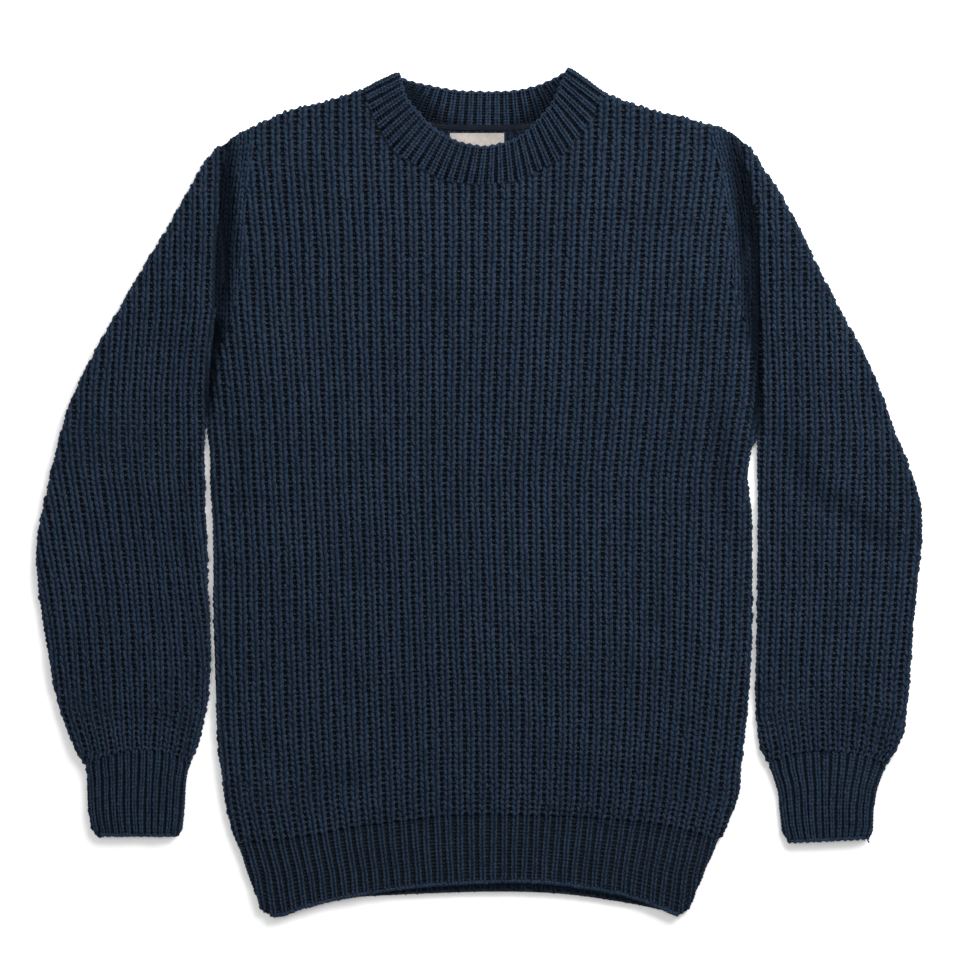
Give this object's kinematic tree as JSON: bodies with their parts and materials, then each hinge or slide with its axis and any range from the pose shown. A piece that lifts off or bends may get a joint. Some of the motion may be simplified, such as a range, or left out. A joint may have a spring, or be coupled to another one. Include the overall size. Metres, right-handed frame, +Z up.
{
  "type": "sweater",
  "caption": "Chunky rib-knit crew-neck sweater laid flat on its back, long sleeves at its sides, with ribbed cuffs, hem and neckband.",
  "frame": {"origin": "on the surface that the sweater lies on, below the middle of its plan box", "axes": "+X across the sweater, to the right in the picture; +Y from the hem to the neck; +Z up, out of the front"},
  "size_m": [0.804, 0.7689, 0.012],
  "materials": {
    "knit": "navy thick cotton yarn in a deep rib, matt with a soft nap",
    "tape": "dark woven twill tape, matt",
    "label": "beige woven label, bare, slight satin"
  },
  "bodies": {
    "root": {"back_panel": "knit", "front_panel": "knit", "hem_back": "knit", "hem_front": "knit", "sleeve_left": "knit", "sleeve_right": "knit", "cuff_left": "knit", "cuff_right": "knit", "collar": "knit", "neck_tape": "tape", "neck_label": "label"}
  },
  "joints": []
}
